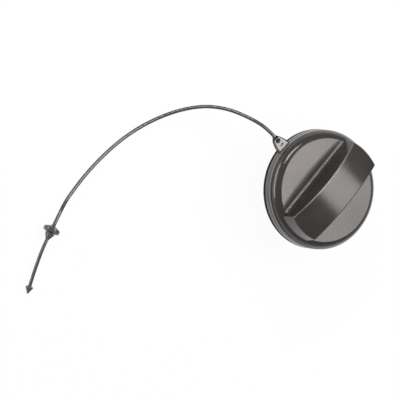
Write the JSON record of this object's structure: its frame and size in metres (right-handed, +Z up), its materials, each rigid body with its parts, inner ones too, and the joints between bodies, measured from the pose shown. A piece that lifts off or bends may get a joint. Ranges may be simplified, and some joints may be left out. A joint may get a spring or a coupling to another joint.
{
  "type": "fuel filler cap",
  "caption": "Round screw-in fuel filler cap with an arched grip bar, ratcheting cover, pressure and vacuum valves, and a moulded tether with a snap-in stop.",
  "frame": {"origin": "centre of the plug's foot, on the surface that the cap stands on", "axes": "+Z up the plug's axis towards the cover; the grip bar lies along X; the tether's tab points along -Y"},
  "size_m": [0.21, 0.152, 0.0608],
  "materials": {
    "cover_plastic": "satin, moulded, warm black",
    "casing_plastic": "satin acetal, moulded",
    "tether_plastic": "smooth flexible moulding, dark grey",
    "inner_plastic": "natural acetal, moulded",
    "seal_rubber": "smooth black nitrile rubber",
    "spring_steel": "bright drawn wire",
    "valve_plastic": "green glass-filled nylon"
  },
  "bodies": {
    "plug": {"casing_body": "casing_plastic", "flange_gasket": "seal_rubber", "bottom_guard": "inner_plastic", "chamber_lid": "inner_plastic", "torque_plate": "inner_plastic", "pressure_spring": "spring_steel"},
    "head": {"cover": "cover_plastic", "ratchet_ring": "inner_plastic", "cover_retainer": "casing_plastic"},
    "tether": {"tether_ring": "tether_plastic", "tether_cord": "tether_plastic", "tether_stop": "tether_plastic", "tether_tail": "tether_plastic", "tether_arrow": "tether_plastic"},
    "pressure_poppet": {"valve_holder": "valve_plastic", "valve_seat_rubber": "seal_rubber", "vacuum_spring": "spring_steel"},
    "vacuum_poppet": {"vacuum_valve": "valve_plastic", "vacuum_spring_cup": "inner_plastic"}
  },
  "joints": [
    {"name": "head_turn", "type": "hinge", "parent": "plug", "child": "head", "pos_m": [0, 0, 0.04], "axis": [0, 0, 1], "continuous": true},
    {"name": "tether_turn", "type": "hinge", "parent": "plug", "child": "tether", "pos_m": [0, 0, 0.0366], "axis": [0, 0, 1], "continuous": true},
    {"name": "pressure_lift", "type": "slide", "parent": "plug", "child": "pressure_poppet", "axis": [0, 0, 1], "range_m": [0, 0.0025], "stiffness_N_per_m": 300, "springref_m": -0.006, "deforming": ["pressure_spring"]},
    {"name": "vacuum_drop", "type": "slide", "parent": "pressure_poppet", "child": "vacuum_poppet", "axis": [0, 0, -1], "range_m": [0, 0.002], "stiffness_N_per_m": 100, "springref_m": -0.0025, "deforming": ["vacuum_spring"]}
  ]
}
